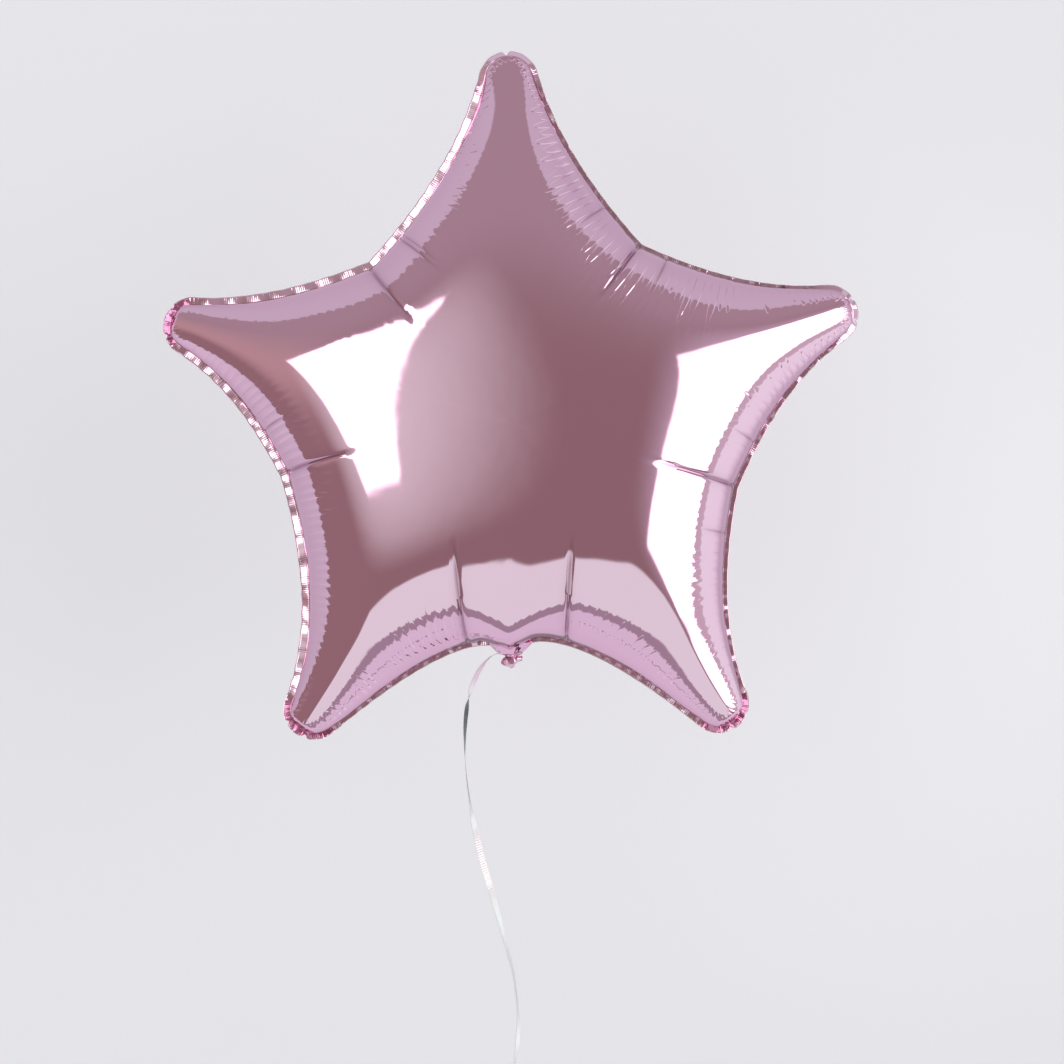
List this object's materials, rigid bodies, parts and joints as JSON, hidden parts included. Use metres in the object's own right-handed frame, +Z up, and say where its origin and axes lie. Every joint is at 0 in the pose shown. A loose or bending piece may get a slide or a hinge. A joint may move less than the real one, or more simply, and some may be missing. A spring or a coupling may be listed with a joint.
{
  "type": "star foil balloon",
  "caption": "Inflated five-pointed star balloon of metallised film, heat sealed round its rim, with a self-sealing valve and a hanging curling ribbon tied to its neck.",
  "frame": {"origin": "middle of the tie round the balloon's neck, at the bottom notch of the star", "axes": "+Z up the middle of the star to its top point, +X to the right seen from the front, -Y out of the front panel; the seal lies in the XZ plane"},
  "size_m": [0.4552, 0.1606, 0.8056],
  "materials": {
    "foil": "polished",
    "valve_film": "satin",
    "ribbon": "gloss",
    "tie": "satin"
  },
  "bodies": {
    "balloon": {"front_panel": "foil", "back_panel": "foil", "valve_front_film": "valve_film", "valve_back_film": "valve_film", "ribbon_wrap": "ribbon", "ribbon_short_end": "ribbon"},
    "knot": {"ribbon_knot": "ribbon"},
    "ribbon": {"ribbon": "ribbon", "ribbon_hank": "ribbon", "hank_tie": "tie"}
  },
  "joints": [
    {"name": "ribbon_swing", "type": "hinge", "parent": "balloon", "child": "knot", "pos_m": [0, 0.0072, 0], "axis": [1, 0, 0], "range_deg": [-40, 40]},
    {"name": "ribbon_sway", "type": "hinge", "parent": "knot", "child": "ribbon", "pos_m": [0, 0.0072, 0], "axis": [0, 1, 0], "range_deg": [-20, 20]}
  ]
}
